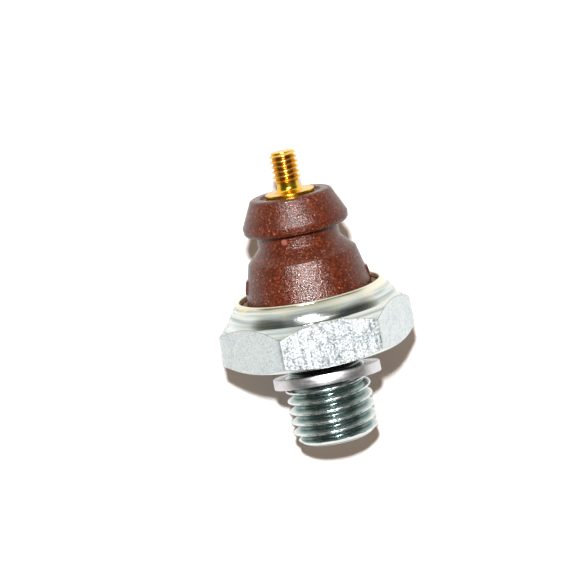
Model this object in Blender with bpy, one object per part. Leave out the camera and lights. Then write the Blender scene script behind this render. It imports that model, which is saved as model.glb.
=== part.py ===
"""Single-terminal oil pressure switch: M12 x 1.5 spigot, 24 mm hex body crimped over a brown
phenolic insulator, M4 brass stud terminal, loose sealing washer on the spigot, and the sealed
diaphragm, pusher and spring-loaded contact inside.

Frame: metres. Origin on the axis, in the hex's underside (the plane the seal is clamped to).
+Z runs up the axis to the terminal. One flat of the hex faces -Y.
"""

import math

import bmesh
import bpy
from mathutils import Matrix, Vector

MM = 0.001

# ---------------------------------------------------------------- driving dimensions, mm
# spigot, M12 x 1.5 right hand
SPIGOT_PITCH = 1.5
SPIGOT_CREST_R = 5.95
SPIGOT_ROOT_R = 5.05
SPIGOT_END_Z = -12.35
SPIGOT_END_R = 4.85
SPIGOT_CHAMFER_Z = -11.45
SPIGOT_CHAMFER_R = 5.98
SPIGOT_THREAD_TOP_Z = -2.0
SPIGOT_RUNOUT = 0.9
SPIGOT_CREST_AT_Z = -8.36       # height of a crest at azimuth 0
RELIEF_R = 5.0
PORT_R = 1.5
PORT_MOUTH_R = 2.0

# hex, 24 mm across flats
HEX_AF = 24.0
HEX_CORNER_R = HEX_AF / 2 / math.cos(math.pi / 6)
HEX_UNDER_R = 11.9
HEX_UNDER_RISE = 0.96
HEX_TOP_CORNER_Z = 5.0
HEX_CREASE_R = 12.0
HEX_CREASE_Z = 6.35

# crimped collar and the cavity it closes
COLLAR_SHOULDER_R = 11.88
COLLAR_SHOULDER_Z = 6.9
COLLAR_LIP_R = 10.36
COLLAR_LIP_Z = 8.98
LIP_TOP_R = 10.1
LIP_TOP_Z = 9.1
LIP_INNER_R = 9.88
LIP_UNDER_Z = 8.5
CAVITY_R = 10.4
CAVITY_TAPER_Z = 6.9
LEDGE_Z = 3.0
CHAMBER_R = 6.5
CHAMBER_Z = 2.0

# sealing washer, loose on the spigot and leaning on it
WASHER_OUT_R = 7.6
WASHER_IN_R = 6.4
WASHER_T = 1.5
WASHER_EDGE = 0.15
WASHER_Z = -3.4
WASHER_TILT_DEG = 7.0           # its front edge is the higher one
WASHER_TURN_DEG = -7.7          # the azimuth of the line that it tilts about
WASHER_OFFSET = 0.20            # along that line

# insulator
FLANGE_R = 10.3
FLANGE_Z = 5.2
FLANGE_SHOULDER_Z = 6.8
FLANGE_TOP_R = 9.95
FLANGE_TOP_Z = 7.9
BODY_BASE_R = 8.82
BODY_TOP_R = 7.62
BODY_TOP_Z = 13.8
BODY_EDGE_R = 0.55
NECK_R = 5.74
NECK_Z = 16.02
HEAD_UNDER_Z = 17.8
HEAD_R = 7.4
HEAD_MAX_Z = 19.1
HEAD_ROUND = 0.9
RIM_R = 5.72
RIM_Z = 22.8
RIM_EDGE = 0.3
RECESS_R = 4.25
RECESS_Z = 22.5
SEAL_POCKET_R = 2.95
SEAL_POCKET_Z = 21.3
STUD_HOLE_R = 1.68
BORE_R = 4.4
BORE_TOP_Z = 17.0
CONTACT_ROOM_R = 7.6
CONTACT_ROOM_Z = 7.4
PAD_WIDE = 1.6
PAD_TALL = 1.7
PAD_PROUD = 0.24

# terminal stud, M4 x 0.7
STUD_PITCH = 0.7
STUD_CREST_R = 1.97
STUD_ROOT_R = 1.56
STUD_TOP_Z = 28.8
STUD_TIP_R = 1.5
STUD_THREAD_TOP_Z = 28.45
STUD_THREAD_END_Z = 24.55
STUD_NECK_R = 1.76
STUD_FLARE_R = 0.62
STUD_COLLAR_R = 3.45
STUD_COLLAR_Z = 22.6
STUD_COLLAR_T = 0.55
STUD_SHANK_R = 1.6
RIVET_R = 2.4
RIVET_Z = 16.4
RIVET_T = 0.65

# small inner pieces
GAP = 0.05
GASKET_IN_R = 8.92
GASKET_OUT_R = 9.8
GASKET_T = 0.36
CLAMP_WASHER_R = 4.1
CLAMP_WASHER_T = 0.5
STUD_SEAL_R = 2.27
STUD_SEAL_WIRE_R = 0.56
SEAL_IN_R = 6.9
STACK_R = 10.2
SEAL_T = 0.45
FILM_T = 0.15
PLATE_R = 4.2
PLATE_T = 0.4
PLUNGER_R = 1.6
GUIDE_R = 1.75
GROUND_RING_IN_R = 7.3
GROUND_RING_T = 1.2
GROUND_STEP_R = 7.4
GROUND_WEB_T = 0.5
DISC_R = 6.5
DISC_T = 0.5
DISC_BOSS_R = 2.7
DISC_BOSS_T = 0.6
TIP_HEAD_R = 0.9
TIP_HEAD_T = 0.4
TIP_SHANK_R = 0.45
TIP_HOLE_R = 0.5
TIP_CIRCLE_R = 5.2
TIP_COUNT = 3
SPRING_R = 3.5
SPRING_WIRE_R = 0.34
SPRING_TURNS = 7

ROUND = 48          # segments round the large pieces: a multiple of 12, so that the hex's corners are on it
INNER = 36          # segments round the large inner pieces
SMALL = 24          # segments round the small pieces


# ---------------------------------------------------------------- helpers
def clear_scene():
    for obj in list(bpy.data.objects):
        bpy.data.objects.remove(obj, do_unlink=True)


def material(name, colour, roughness, metallic):
    made = bpy.data.materials.new(name)
    made.use_nodes = True
    shader = made.node_tree.nodes["Principled BSDF"]
    shader.inputs["Base Color"].default_value = (*colour, 1.0)
    shader.inputs["Roughness"].default_value = roughness
    shader.inputs["Metallic"].default_value = metallic
    return made


def finish(name, mesh_bm, base_z, look, sharp_deg=32.0):
    """Makes the object of a bmesh whose points are in millimetres, with its origin on the axis at base_z."""
    bmesh.ops.transform(mesh_bm, matrix=Matrix.Translation((0, 0, -base_z)), verts=mesh_bm.verts)
    bmesh.ops.scale(mesh_bm, vec=(MM, MM, MM), verts=mesh_bm.verts)
    bmesh.ops.recalc_face_normals(mesh_bm, faces=mesh_bm.faces)
    mesh = bpy.data.meshes.new(name)
    mesh_bm.to_mesh(mesh)
    mesh_bm.free()
    obj = bpy.data.objects.new(name, mesh)
    bpy.context.scene.collection.objects.link(obj)
    obj.location = (0, 0, base_z * MM)
    mesh.materials.append(material(name, *look))
    mesh.shade_smooth()
    mesh.set_sharp_from_angle(angle=math.radians(sharp_deg))
    return obj


def arc(cr, cz, radius, from_deg, to_deg, steps):
    """(r, z) points on an arc, angles from the outward radial direction towards +Z."""
    for k in range(steps + 1):
        a = math.radians(from_deg + (to_deg - from_deg) * k / steps)
        yield cr + radius * math.cos(a), cz + radius * math.sin(a)


def spin_profile(points, segments):
    """A closed bmesh from a (r, z) profile spun round the axis. A profile with points at r = 0 at
    both its ends makes a solid; any other is taken as a loop and makes a ring."""
    made = bmesh.new()
    verts = [made.verts.new((r, 0, z)) for r, z in points]
    edges = [made.edges.new(pair) for pair in zip(verts, verts[1:])]
    if points[0][0] > 0:
        edges.append(made.edges.new((verts[-1], verts[0])))
    bmesh.ops.spin(
        made, geom=verts + edges, cent=(0, 0, 0), axis=(0, 0, 1), dvec=(0, 0, 0),
        angle=2 * math.pi, steps=segments, use_merge=False, use_duplicate=False,
    )
    bmesh.ops.remove_doubles(made, verts=made.verts, dist=1e-4)
    bmesh.ops.dissolve_degenerate(made, edges=made.edges, dist=1e-5)
    return made


def revolved(name, points, base_z, look, segments=ROUND, sharp_deg=32.0):
    return finish(name, spin_profile(list(points), segments), base_z, look, sharp_deg)


def flat_ring(inner_r, outer_r, low_z, thick):
    """The profile of a flat ring with plain edges, as stamped."""
    return [(outer_r, low_z), (outer_r, low_z + thick), (inner_r, low_z + thick), (inner_r, low_z)]


def washer_points(inner_r, outer_r, low_z, thick, edge):
    """The profile of a flat ring with its four edges broken."""
    top = low_z + thick
    return [
        (outer_r - edge, low_z), (outer_r, low_z + edge), (outer_r, top - edge), (outer_r - edge, top),
        (inner_r + edge, top), (inner_r, top - edge), (inner_r, low_z + edge), (inner_r + edge, low_z),
    ]


def smooth_step(x):
    x = min(1.0, max(0.0, x))
    return x * x * (3 - 2 * x)


THREAD_PHASES = (0.0, 0.25, 0.5625, 0.6875)     # start and end of the root flat, start and end of the crest
THREAD_IS_CREST = (False, False, True, True)


def thread_rows(low_z, high_z, pitch, crest_at_z, segments, radius_at):
    """Rows of a right-hand thread between two heights. Each row climbs one pitch a turn, and stops
    at the ends. Returns point(row, column), the count of rows, and rows in a pitch.
    radius_at(crest, z) gives the radius."""
    phases = len(THREAD_PHASES)
    crest_phase = (THREAD_PHASES[2] + THREAD_PHASES[3]) / 2
    start = crest_at_z - crest_phase * pitch
    start -= math.ceil((start - low_z) / pitch + 1) * pitch
    turns = math.ceil((high_z - start) / pitch) + 1
    near = 0.06 * pitch

    def point(row, column):
        turn, phase = divmod(row, phases)
        z = start + (turn + THREAD_PHASES[phase] + column / segments) * pitch
        if z < low_z + near:
            return None, -1
        if z > high_z - near:
            return None, 1
        angle = 2 * math.pi * column / segments
        r = radius_at(THREAD_IS_CREST[phase], z)
        return (r * math.cos(angle), r * math.sin(angle), z), 0

    return point, turns * phases, phases


class Skin:
    """A surface built ring by ring up or down the axis."""

    def __init__(self, segments):
        self.segments = segments
        self.bm = bmesh.new()
        self.first = None
        self.last = None

    def point(self, r, z, column):
        angle = 2 * math.pi * column / self.segments
        return self.bm.verts.new((r * math.cos(angle), r * math.sin(angle), z))

    def ring(self, radius, z):
        """Adds a ring. radius and z are numbers, or functions of the azimuth in degrees."""
        made = []
        for column in range(self.segments):
            deg = 360.0 * column / self.segments
            r = radius(deg) if callable(radius) else radius
            h = z(deg) if callable(z) else z
            made.append(self.point(r, h, column))
        self.join(made)
        return made

    def face(self, *corners):
        kept = []
        for corner in corners:
            if corner not in kept:
                kept.append(corner)
        if len(kept) > 2 and not self.bm.faces.get(kept):
            self.bm.faces.new(kept)

    def join(self, made):
        if self.last is not None:
            for c in range(self.segments):
                d = (c + 1) % self.segments
                self.face(self.last[c], self.last[d], made[d], made[c])
        if self.first is None:
            self.first = made
        self.last = made

    def thread(self, low_z, high_z, pitch, crest_at_z, radius_at, low_r, high_r):
        """Adds a threaded stretch, upwards from low_z to high_z."""
        low = self.ring(low_r, low_z)
        high = [self.point(high_r, high_z, c) for c in range(self.segments)]
        point, rows, in_pitch = thread_rows(low_z, high_z, pitch, crest_at_z, self.segments, radius_at)
        made = {}

        def vert(row, column):
            if column == self.segments:
                row, column = row + in_pitch, 0
            where, end = point(row, column)
            if end < 0:
                return low[column]
            if end > 0:
                return high[column]
            if (row, column) not in made:
                made[row, column] = self.bm.verts.new(where)
            return made[row, column]

        for row in range(-in_pitch, rows + in_pitch):
            for column in range(self.segments):
                self.face(
                    vert(row, column), vert(row, column + 1), vert(row + 1, column + 1), vert(row + 1, column)
                )
        self.last = high

    def cap(self, ring, z):
        centre = self.bm.verts.new((0, 0, z))
        for c in range(self.segments):
            self.face(ring[c], ring[(c + 1) % self.segments], centre)

    def close_loop(self):
        self.join(self.first)


# ---------------------------------------------------------------- looks: colour, roughness, metallic
ZINC = ((0.62, 0.63, 0.66), 0.34, 1.0)
WASHER_METAL = ((0.70, 0.69, 0.70), 0.38, 1.0)
PHENOLIC = ((0.127, 0.027, 0.012), 0.42, 0.0)
BRASS = ((0.80, 0.56, 0.22), 0.26, 1.0)
FIBRE = ((0.16, 0.06, 0.03), 0.70, 0.0)
NITRILE = ((0.02, 0.02, 0.022), 0.60, 0.0)
FILM = ((0.62, 0.27, 0.05), 0.30, 0.0)
STEEL = ((0.55, 0.55, 0.56), 0.35, 1.0)
SPRING_STEEL = ((0.42, 0.42, 0.44), 0.30, 1.0)
NYLON = ((0.75, 0.72, 0.64), 0.50, 0.0)
SILVER = ((0.86, 0.86, 0.85), 0.25, 1.0)
BRONZE = ((0.72, 0.43, 0.24), 0.32, 1.0)


# ---------------------------------------------------------------- hex housing
def hex_radius(deg):
    return HEX_AF / 2 / math.cos(math.radians(deg % 60.0 - 30.0))


def hex_low_z(deg):
    return (hex_radius(deg) - HEX_UNDER_R) * HEX_UNDER_RISE / (HEX_CORNER_R - HEX_UNDER_R)


def hex_high_z(deg):
    share = (hex_radius(deg) - HEX_CREASE_R) / (HEX_CORNER_R - HEX_CREASE_R)
    return HEX_CREASE_Z + (HEX_TOP_CORNER_Z - HEX_CREASE_Z) * share


def spigot_radius(crest, z):
    r = SPIGOT_CREST_R if crest else SPIGOT_ROOT_R
    fade = smooth_step((SPIGOT_THREAD_TOP_Z - z) / SPIGOT_RUNOUT)
    r = RELIEF_R + (r - RELIEF_R) * fade
    cone = SPIGOT_END_R + (z - SPIGOT_END_Z) * (SPIGOT_CHAMFER_R - SPIGOT_END_R) / (
        SPIGOT_CHAMFER_Z - SPIGOT_END_Z
    )
    return min(r, cone)


def make_housing():
    skin = Skin(ROUND)
    skin.ring(PORT_R, SPIGOT_END_Z + 0.5)
    skin.ring(PORT_MOUTH_R, SPIGOT_END_Z)
    skin.thread(
        SPIGOT_END_Z, SPIGOT_THREAD_TOP_Z, SPIGOT_PITCH, SPIGOT_CREST_AT_Z, spigot_radius,
        SPIGOT_END_R, RELIEF_R,
    )
    skin.ring(RELIEF_R, -0.35)
    skin.ring(RELIEF_R + 0.3, 0.0)
    skin.ring(HEX_UNDER_R, 0.0)
    skin.ring(hex_radius, hex_low_z)
    skin.ring(hex_radius, hex_high_z)
    skin.ring(HEX_CREASE_R - 0.03, HEX_CREASE_Z + 0.08)
    skin.ring(COLLAR_SHOULDER_R, COLLAR_SHOULDER_Z)
    bow = 0.10
    for k in range(1, 5):
        t = k / 5
        lean = math.sin(math.pi * t) * bow
        skin.ring(
            COLLAR_SHOULDER_R + (COLLAR_LIP_R - COLLAR_SHOULDER_R) * t + lean,
            COLLAR_SHOULDER_Z + (COLLAR_LIP_Z - COLLAR_SHOULDER_Z) * t + lean,
        )
    skin.ring(COLLAR_LIP_R, COLLAR_LIP_Z)
    skin.ring(LIP_TOP_R, LIP_TOP_Z)
    skin.ring(LIP_INNER_R + 0.04, LIP_TOP_Z - 0.12)
    skin.ring(LIP_INNER_R, LIP_UNDER_Z)
    skin.ring(CAVITY_R - 0.33, LIP_UNDER_Z - 0.45)
    skin.ring(CAVITY_R, CAVITY_TAPER_Z)
    skin.ring(CAVITY_R, LEDGE_Z)
    skin.ring(CHAMBER_R, LEDGE_Z)
    skin.ring(CHAMBER_R, CHAMBER_Z)
    skin.ring(PORT_R + 0.5, CHAMBER_Z - 0.35)
    skin.ring(PORT_R, CHAMBER_Z - 0.7)
    skin.close_loop()
    return finish("hex_housing", skin.bm, 0.0, ZINC, 24.0)


# ---------------------------------------------------------------- insulator
def insulator_outline():
    """Outer side from the flange's foot up to the rim, then back down inside."""
    yield FLANGE_R - 0.15, FLANGE_Z
    yield FLANGE_R, FLANGE_Z + 0.15
    yield FLANGE_R, FLANGE_SHOULDER_Z
    yield FLANGE_TOP_R, FLANGE_TOP_Z
    yield BODY_BASE_R, FLANGE_TOP_Z
    steps = 5
    lean = math.atan2(BODY_BASE_R - BODY_TOP_R, BODY_TOP_Z - FLANGE_TOP_Z)
    for k in range(1, steps + 1):
        t = k / steps
        bulge = 0.05 * math.sin(math.pi * t)
        yield BODY_BASE_R + (BODY_TOP_R - BODY_BASE_R) * t + bulge, FLANGE_TOP_Z + (BODY_TOP_Z - FLANGE_TOP_Z) * t
    cr = BODY_TOP_R - BODY_EDGE_R * math.cos(lean)
    cz = BODY_TOP_Z - BODY_EDGE_R * math.sin(lean)
    for n, point in enumerate(arc(cr, cz, BODY_EDGE_R, math.degrees(lean), 47, 3)):
        if n:
            yield point
    yield NECK_R + 0.08, NECK_Z - 0.06
    yield NECK_R, NECK_Z + 0.1
    yield NECK_R, HEAD_UNDER_Z - 0.1
    yield NECK_R + 0.12, HEAD_UNDER_Z
    yield HEAD_R - HEAD_ROUND + 0.02, HEAD_UNDER_Z + 0.16
    yield from arc(HEAD_R - HEAD_ROUND, HEAD_MAX_Z, HEAD_ROUND, -55, 22, 4)
    slope = math.degrees(math.atan2(HEAD_R - RIM_R, RIM_Z - HEAD_MAX_Z))
    for n, point in enumerate(arc(RIM_R - RIM_EDGE * 0.6, RIM_Z - RIM_EDGE, RIM_EDGE, slope, 90, 3)):
        yield point
    yield RECESS_R + 0.1, RIM_Z
    yield RECESS_R - 0.1, RECESS_Z
    yield SEAL_POCKET_R, RECESS_Z
    yield SEAL_POCKET_R, SEAL_POCKET_Z
    yield STUD_HOLE_R, SEAL_POCKET_Z
    yield STUD_HOLE_R, BORE_TOP_Z
    yield BORE_R, BORE_TOP_Z
    yield BORE_R, CONTACT_ROOM_Z
    yield CONTACT_ROOM_R, CONTACT_ROOM_Z
    yield CONTACT_ROOM_R, FLANGE_Z


def raised_pad(name, azimuth_deg, mid_z):
    """A small rounded block that a union adds to the insulator's side as a raised pad."""
    radius = BODY_BASE_R + (BODY_TOP_R - BODY_BASE_R) * (mid_z - FLANGE_TOP_Z) / (BODY_TOP_Z - FLANGE_TOP_Z)
    lean = math.atan2(BODY_BASE_R - BODY_TOP_R, BODY_TOP_Z - FLANGE_TOP_Z)
    made = bmesh.new()
    bmesh.ops.create_cube(made, size=1.0)
    bmesh.ops.scale(made, vec=(1.0, PAD_WIDE, PAD_TALL), verts=made.verts)
    bmesh.ops.bevel(
        made, geom=list(made.edges), offset=0.18, segments=2, profile=0.5, affect="EDGES"
    )
    place = (
        Matrix.Rotation(math.radians(azimuth_deg), 4, "Z")
        @ Matrix.Translation((radius + 0.05 + PAD_PROUD - 0.5, 0, mid_z))
        @ Matrix.Rotation(-lean, 4, "Y")
    )
    bmesh.ops.transform(made, matrix=place, verts=made.verts)
    bmesh.ops.transform(made, matrix=Matrix.Translation((0, 0, -FLANGE_Z)), verts=made.verts)
    bmesh.ops.scale(made, vec=(MM, MM, MM), verts=made.verts)
    mesh = bpy.data.meshes.new(name)
    made.to_mesh(mesh)
    made.free()
    obj = bpy.data.objects.new(name, mesh)
    bpy.context.scene.collection.objects.link(obj)
    obj.location = (0, 0, FLANGE_Z * MM)
    obj.hide_render = True
    obj.display_type = "WIRE"
    return obj


def make_insulator():
    obj = revolved("insulator", insulator_outline(), FLANGE_Z, PHENOLIC, ROUND, 40.0)
    for n, (azimuth, mid_z) in enumerate(((172.0, 10.95), (-8.0, 10.1))):
        pad = raised_pad(f"pad_tool_{n}", azimuth, mid_z)
        join = obj.modifiers.new(f"pad_{n}", "BOOLEAN")
        join.operation = "UNION"
        join.solver = "EXACT"
        join.object = pad
    return obj


# ---------------------------------------------------------------- terminal stud
def stud_radius(crest, z):
    r = STUD_CREST_R if crest else STUD_ROOT_R
    fade = smooth_step((z - STUD_THREAD_END_Z) / 0.55)
    r = STUD_NECK_R + (r - STUD_NECK_R) * fade
    cone = STUD_TIP_R + (STUD_TOP_Z - z) * (STUD_CREST_R - STUD_TIP_R) / 0.45
    return min(r, cone)


def make_stud():
    skin = Skin(SMALL)
    base = RIVET_Z - RIVET_T
    low = skin.ring(RIVET_R * 0.45, base)
    skin.ring(RIVET_R * 0.85, base + 0.12)
    skin.ring(RIVET_R, base + 0.38)
    skin.ring(RIVET_R, RIVET_Z)
    skin.ring(STUD_SHANK_R, RIVET_Z)
    skin.ring(STUD_SHANK_R, STUD_COLLAR_Z)
    skin.ring(STUD_COLLAR_R - 0.08, STUD_COLLAR_Z)
    skin.ring(STUD_COLLAR_R, STUD_COLLAR_Z + 0.08)
    top = STUD_COLLAR_Z + STUD_COLLAR_T
    skin.ring(STUD_COLLAR_R, top - 0.08)
    skin.ring(STUD_COLLAR_R - 0.08, top)
    for r, z in arc(STUD_NECK_R + STUD_FLARE_R, top + STUD_FLARE_R, STUD_FLARE_R, 270, 180, 4):
        skin.ring(r, z)
    skin.thread(
        STUD_THREAD_END_Z, STUD_TOP_Z, STUD_PITCH, STUD_THREAD_END_Z + 0.5, stud_radius,
        STUD_NECK_R, STUD_TIP_R,
    )
    high = skin.last
    skin.cap(low, base)
    skin.cap(high, STUD_TOP_Z)
    return finish("terminal_stud", skin.bm, STUD_COLLAR_Z, BRASS, 24.0)


# ---------------------------------------------------------------- spring
def spring_height(t, low_z, high_z):
    """Height of the wire's centre at share t of its turns: the end turns lie closer."""
    close = 2 * SPRING_WIRE_R + 0.12
    ends = 1.0
    turn = t * SPRING_TURNS
    open_pitch = (high_z - low_z - 2 * ends * close) / (SPRING_TURNS - 2 * ends)
    if turn < ends:
        return low_z + close * turn
    if turn > SPRING_TURNS - ends:
        return high_z - close * (SPRING_TURNS - turn)
    return low_z + ends * close + open_pitch * (turn - ends)


def make_spring(low_z, high_z):
    made = bmesh.new()
    along, round_wire = 14 * SPRING_TURNS, 6
    rings = []
    for k in range(along + 1):
        t = k / along
        angle = 2 * math.pi * SPRING_TURNS * t
        z = spring_height(t, low_z + SPRING_WIRE_R, high_z - SPRING_WIRE_R)
        outward = Vector((math.cos(angle), math.sin(angle), 0))
        centre = outward * SPRING_R + Vector((0, 0, z))
        ring = []
        for m in range(round_wire):
            a = 2 * math.pi * m / round_wire
            ring.append(
                made.verts.new(
                    centre + outward * SPRING_WIRE_R * math.cos(a) + Vector((0, 0, SPRING_WIRE_R * math.sin(a)))
                )
            )
        rings.append(ring)
    for one, two in zip(rings, rings[1:]):
        for m in range(round_wire):
            n = (m + 1) % round_wire
            made.faces.new((one[m], one[n], two[n], two[m]))
    made.faces.new(rings[0])
    made.faces.new(reversed(rings[-1]))
    return finish("set_spring", made, low_z, SPRING_STEEL, 50.0)


# ---------------------------------------------------------------- contact disc and its tips
def tip_places():
    for n in range(TIP_COUNT):
        angle = 2 * math.pi * n / TIP_COUNT + math.pi / 2
        yield TIP_CIRCLE_R * math.cos(angle), TIP_CIRCLE_R * math.sin(angle)


def make_disc(low_z):
    top = low_z + DISC_T
    obj = revolved(
        "contact_disc",
        [
            (0, top + DISC_BOSS_T), (DISC_BOSS_R - 0.2, top + DISC_BOSS_T), (DISC_BOSS_R, top + DISC_BOSS_T - 0.2),
            (DISC_BOSS_R, top), (DISC_R, top), (DISC_R, low_z), (0, low_z),
        ],
        low_z, BRONZE, INNER,
    )
    for n, (x, y) in enumerate(tip_places()):
        made = bmesh.new()
        bmesh.ops.create_cone(
            made, cap_ends=True, segments=12, radius1=TIP_HOLE_R * MM, radius2=TIP_HOLE_R * MM, depth=3 * DISC_T * MM
        )
        mesh = bpy.data.meshes.new(f"tip_hole_{n}")
        made.to_mesh(mesh)
        made.free()
        tool = bpy.data.objects.new(f"tip_hole_{n}", mesh)
        bpy.context.scene.collection.objects.link(tool)
        tool.location = (x * MM, y * MM, (low_z + DISC_T / 2) * MM)
        tool.hide_render = True
        tool.display_type = "WIRE"
        cut = obj.modifiers.new(f"hole_{n}", "BOOLEAN")
        cut.operation = "DIFFERENCE"
        cut.solver = "EXACT"
        cut.object = tool
    return obj


def make_tips(low_z):
    for n, (x, y) in enumerate(tip_places()):
        top = low_z + TIP_HEAD_T
        obj = revolved(
            f"contact_tip_{n + 1}",
            [
                (0, top + GAP + DISC_T - 0.05), (TIP_SHANK_R, top + GAP + DISC_T - 0.05), (TIP_SHANK_R, top),
                (TIP_HEAD_R, top), (TIP_HEAD_R, low_z + 0.15), (TIP_HEAD_R - 0.2, low_z), (0, low_z),
            ],
            low_z, SILVER, 12,
        )
        obj.location.x, obj.location.y = x * MM, y * MM


# ---------------------------------------------------------------- the assembly
def build():
    clear_scene()
    make_housing()
    washer = revolved(
        "sealing_washer", washer_points(WASHER_IN_R, WASHER_OUT_R, -WASHER_T / 2, WASHER_T, WASHER_EDGE),
        0.0, WASHER_METAL, ROUND,
    )
    tilt_line = Vector((math.cos(math.radians(WASHER_TURN_DEG)), math.sin(math.radians(WASHER_TURN_DEG)), 0))
    washer.matrix_world = (
        Matrix.Translation(tilt_line * WASHER_OFFSET * MM + Vector((0, 0, WASHER_Z * MM)))
        @ Matrix.Rotation(-math.radians(WASHER_TILT_DEG), 4, tilt_line)
    )
    make_insulator()
    revolved(
        "crimp_gasket",
        flat_ring(GASKET_IN_R, GASKET_OUT_R, FLANGE_TOP_Z + GAP, GASKET_T),
        FLANGE_TOP_Z + GAP, FIBRE, ROUND,
    )
    make_stud()

    # terminal side, inside the insulator
    clamp_z = RIVET_Z + GAP
    revolved(
        "stud_clamp_washer", flat_ring(STUD_SHANK_R + 0.06, CLAMP_WASHER_R, clamp_z, CLAMP_WASHER_T),
        clamp_z, STEEL, SMALL,
    )
    seal_z = SEAL_POCKET_Z + GAP + STUD_SEAL_WIRE_R
    revolved(
        "stud_seal", list(arc(STUD_SEAL_R, seal_z, STUD_SEAL_WIRE_R, 0, -315, 7)), seal_z, NITRILE, SMALL, 60.0
    )

    # pressure side, from the ledge up
    z = LEDGE_Z + GAP
    revolved("diaphragm_seal", flat_ring(SEAL_IN_R, STACK_R, z, SEAL_T), z, NITRILE, INNER)
    z += SEAL_T + GAP
    revolved("diaphragm", [(0, z + FILM_T), (STACK_R, z + FILM_T), (STACK_R, z), (0, z)], z, FILM, INNER)
    z += FILM_T + GAP
    revolved("diaphragm_backing", [(0, z + FILM_T), (STACK_R, z + FILM_T), (STACK_R, z), (0, z)], z, FILM, INNER)
    z += FILM_T + GAP
    plate_z = z
    revolved(
        "pressure_plate",
        [
            (0, z + PLATE_T), (PLATE_R - 0.1, z + PLATE_T), (PLATE_R, z + PLATE_T - 0.1),
            (PLATE_R, z + 0.2), (PLATE_R - 0.2, z), (0, z),
        ],
        z, STEEL, SMALL,
    )
    web_z = plate_z + GROUND_RING_T
    web_top = web_z + GROUND_WEB_T
    revolved(
        "ground_contact_plate",
        [
            (GUIDE_R, web_top), (GROUND_STEP_R, web_top), (GROUND_STEP_R, web_z), (STACK_R, web_z),
            (STACK_R, plate_z), (GROUND_RING_IN_R, plate_z), (GROUND_RING_IN_R - 0.5, web_z - 0.3),
            (GROUND_RING_IN_R - 0.9, web_z), (GUIDE_R, web_z),
        ][::-1],
        plate_z, BRASS, INNER,
    )
    tip_z = web_top + GAP
    disc_z = tip_z + TIP_HEAD_T + GAP
    pin_z = plate_z + PLATE_T + GAP
    revolved(
        "plunger",
        [
            (0, disc_z - GAP), (PLUNGER_R - 0.2, disc_z - GAP), (PLUNGER_R, disc_z - GAP - 0.2),
            (PLUNGER_R, pin_z), (0, pin_z),
        ],
        pin_z, NYLON, SMALL,
    )
    make_disc(disc_z)
    make_tips(tip_z)
    make_spring(disc_z + DISC_T + GAP, RIVET_Z)


build()
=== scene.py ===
import math

import bpy
import numpy as np
from mathutils import Matrix, Vector


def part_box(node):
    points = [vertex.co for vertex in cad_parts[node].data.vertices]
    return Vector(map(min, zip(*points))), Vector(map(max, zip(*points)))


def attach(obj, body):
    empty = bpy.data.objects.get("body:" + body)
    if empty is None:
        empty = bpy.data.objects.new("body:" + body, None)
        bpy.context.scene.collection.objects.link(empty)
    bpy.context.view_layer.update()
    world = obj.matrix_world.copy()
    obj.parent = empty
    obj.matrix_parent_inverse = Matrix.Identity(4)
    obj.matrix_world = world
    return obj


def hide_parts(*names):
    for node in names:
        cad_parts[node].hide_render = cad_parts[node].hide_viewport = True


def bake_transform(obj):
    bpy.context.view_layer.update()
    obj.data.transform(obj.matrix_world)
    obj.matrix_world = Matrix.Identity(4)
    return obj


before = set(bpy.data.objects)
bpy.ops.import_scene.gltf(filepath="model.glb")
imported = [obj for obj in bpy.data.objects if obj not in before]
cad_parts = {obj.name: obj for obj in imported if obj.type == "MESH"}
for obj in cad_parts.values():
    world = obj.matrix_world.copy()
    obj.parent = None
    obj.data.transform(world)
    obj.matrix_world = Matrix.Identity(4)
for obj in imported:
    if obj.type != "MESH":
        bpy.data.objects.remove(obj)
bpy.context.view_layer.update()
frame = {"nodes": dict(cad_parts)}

MM = 0.001
TAU = 2 * math.pi

HEX_AF = 24.0
CORNER_R = HEX_AF / 2 / math.cos(math.pi / 6)


# ------------------------------------------------------------------ mesh helpers
def catmull(points, per):
    """Points on a smooth curve through the given (r, z) points, per of them to each span."""
    pts = [np.array(p, float) for p in points]
    pts = [2 * pts[0] - pts[1]] + pts + [2 * pts[-1] - pts[-2]]
    out = []
    for i in range(1, len(pts) - 2):
        p0, p1, p2, p3 = pts[i - 1 : i + 3]
        for k in range(per):
            t = k / per
            out.append(
                0.5 * (2 * p1 + (p2 - p0) * t + (2 * p0 - 5 * p1 + 4 * p2 - p3) * t * t
                       + (3 * p1 - p0 - 3 * p2 + p3) * t * t * t)
            )
    out.append(pts[-2])
    return [tuple(map(float, p)) for p in out]


def rounded(points, radii, steps=4):
    """A (r, z) polyline with each inner corner rounded to its radius (0 keeps it sharp)."""
    pts = [np.array(p, float) for p in points]
    out = [tuple(pts[0])]
    for i in range(1, len(pts) - 1):
        p, a, b = pts[i], pts[i - 1] - pts[i], pts[i + 1] - pts[i]
        la, lb = np.linalg.norm(a), np.linalg.norm(b)
        a, b = a / la, b / lb
        half = math.acos(max(-1.0, min(1.0, float(a @ b)))) / 2
        rad = radii[i]
        if rad <= 0 or half > math.pi / 2 - 0.02:
            out.append(tuple(p))
            continue
        cut = min(rad / math.tan(half), 0.48 * la, 0.48 * lb)
        one, two = p + a * cut, p + b * cut
        for k in range(steps + 1):
            t = k / steps
            q = (1 - t) ** 2 * one + 2 * t * (1 - t) * p + t * t * two
            out.append(tuple(map(float, q)))
    out.append(tuple(pts[-1]))
    return out


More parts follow.
